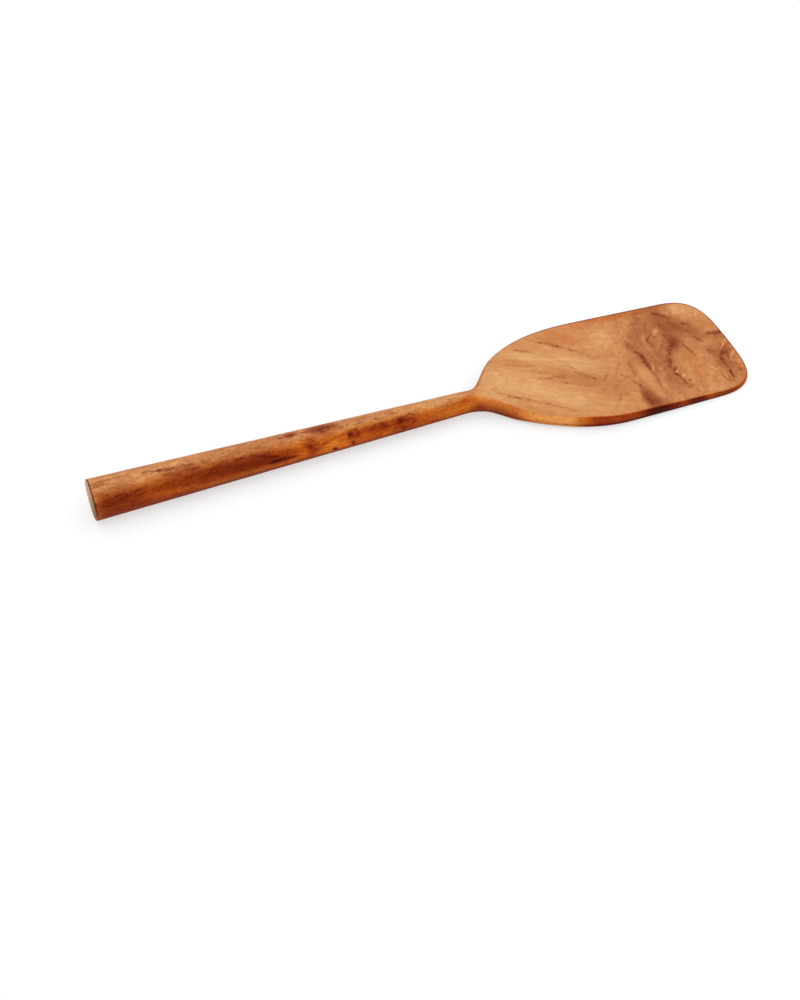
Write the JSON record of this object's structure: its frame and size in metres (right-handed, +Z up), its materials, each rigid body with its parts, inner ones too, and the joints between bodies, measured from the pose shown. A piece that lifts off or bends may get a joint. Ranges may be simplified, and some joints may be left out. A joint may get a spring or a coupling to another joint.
{
  "type": "wooden spatula",
  "caption": "Long wooden cooking spatula carved in one piece, with a round tapered handle, a slim neck and a thin flat blade with rounded corners.",
  "frame": {"origin": "middle of the box at its lowest level, on the surface that the spatula lies on", "axes": "+X along the spatula from the butt of the handle to the tip of the blade, +Z up from the surface, +Y across the blade to its left side"},
  "size_m": [0.33, 0.0726, 0.02],
  "materials": {
    "oiled_teak": "sanded and oiled, satin, with dark heartwood figure"
  },
  "bodies": {
    "root": {"spatula_body": "oiled_teak"}
  },
  "joints": []
}
